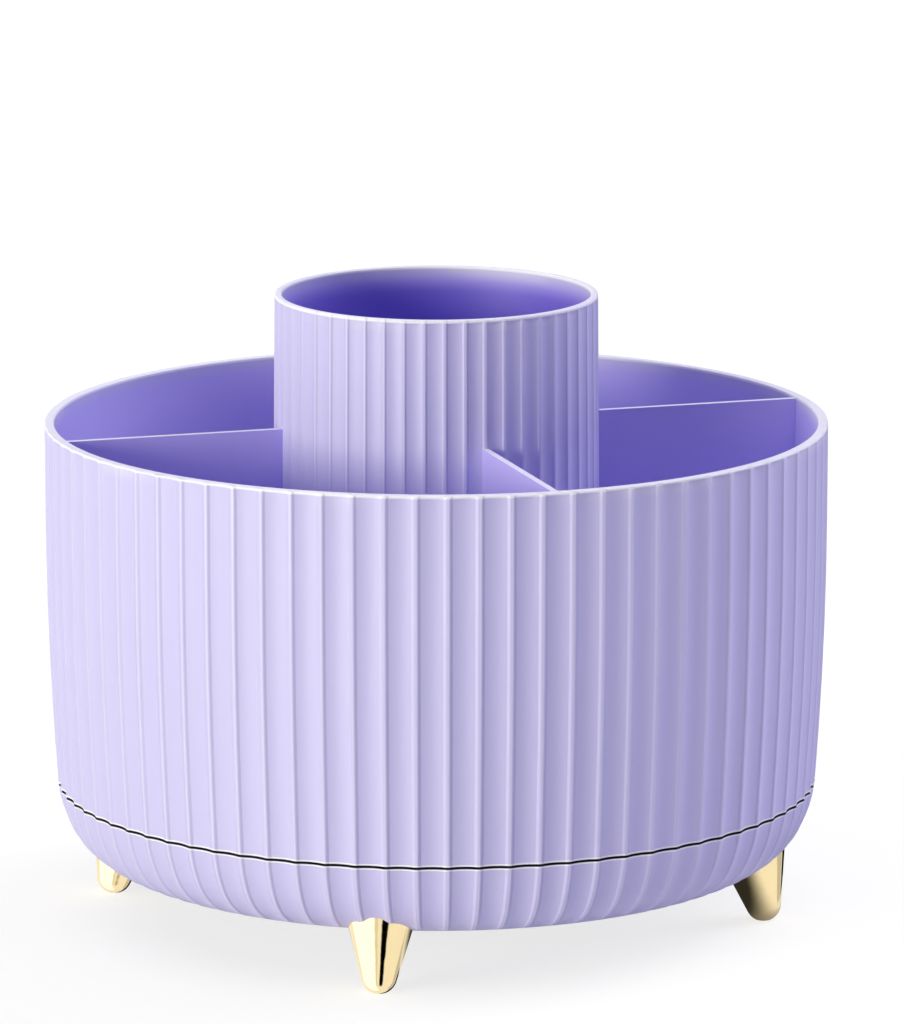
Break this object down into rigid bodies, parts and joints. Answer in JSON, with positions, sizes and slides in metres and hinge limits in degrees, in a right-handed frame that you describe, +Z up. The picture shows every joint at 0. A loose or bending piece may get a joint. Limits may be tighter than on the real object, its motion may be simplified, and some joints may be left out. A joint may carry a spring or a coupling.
{
  "type": "rotating makeup organizer",
  "caption": "Round fluted tub with compartments and a taller centre cup, turning on a bowl-shaped base with splayed feet.",
  "frame": {"origin": "on the turning axis, at the height of the surface that the feet stand on", "axes": "+Z up along the turning axis; at rest two dividers lie along X and two along Y, and the base with its feet is turned 63 degrees from +X towards +Y"},
  "size_m": [0.165, 0.165, 0.1329],
  "materials": {
    "tub": "satin moulded plastic",
    "base": "satin moulded plastic",
    "feet": "polished pale gold plating",
    "race_steel": "ground",
    "balls": "polished",
    "cage": "natural nylon",
    "bush": "acetal",
    "fasteners": "zinc plated"
  },
  "bodies": {
    "base": {"base_bowl": "base", "foot_front": "feet", "foot_right": "feet", "foot_back": "feet", "foot_left": "feet", "foot_screws": "fasteners", "lower_race": "race_steel", "hub_bush": "bush", "bottom_cap": "base"},
    "tub": {"tub_shell": "tub", "divider_insert": "tub", "insert_screws": "fasteners", "upper_race": "race_steel", "pivot_bolt": "fasteners", "pivot_washer": "fasteners", "lock_nut": "fasteners"},
    "cage": {"ball_cage": "cage", "bearing_balls": "balls"}
  },
  "joints": [
    {"name": "tub_spin", "type": "hinge", "parent": "base", "child": "tub", "pos_m": [0, 0, 0.03], "axis": [0, 0, 1], "continuous": true},
    {"name": "cage_spin", "type": "hinge", "parent": "base", "child": "cage", "pos_m": [0, 0, 0.02755], "axis": [0, 0, 1], "continuous": true}
  ],
  "couplings": [
    {"joint": "cage_spin", "follows": "tub_spin", "ratio": 0.5}
  ]
}
